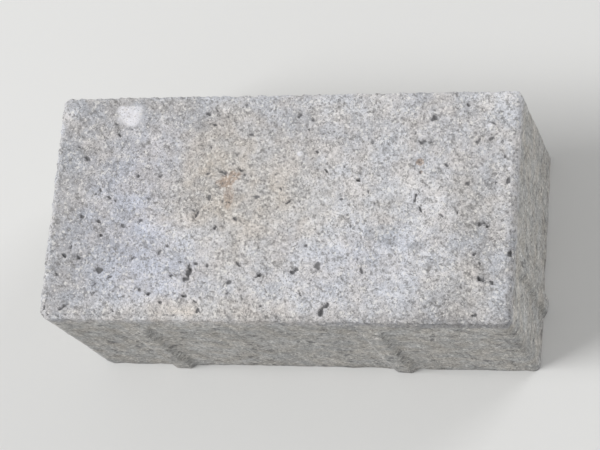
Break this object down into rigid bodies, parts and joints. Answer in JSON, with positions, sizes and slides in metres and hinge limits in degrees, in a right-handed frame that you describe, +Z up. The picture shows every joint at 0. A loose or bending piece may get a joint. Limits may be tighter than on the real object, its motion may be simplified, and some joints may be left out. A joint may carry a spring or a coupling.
{
  "type": "concrete paving stone",
  "caption": "Rectangular concrete paving stone with a shallow bevel round its wearing face, worn arrises and corners, and upright spacer nibs on its sides.",
  "frame": {"origin": "middle of the flat bed face, which the stone rests on", "axes": "+X along the stone's length, +Y across it towards the far long side, +Z up out of the wearing face"},
  "size_m": [0.2014, 0.1014, 0.08],
  "materials": {
    "concrete": "matte"
  },
  "bodies": {
    "root": {"paving_stone": "concrete"}
  },
  "joints": []
}
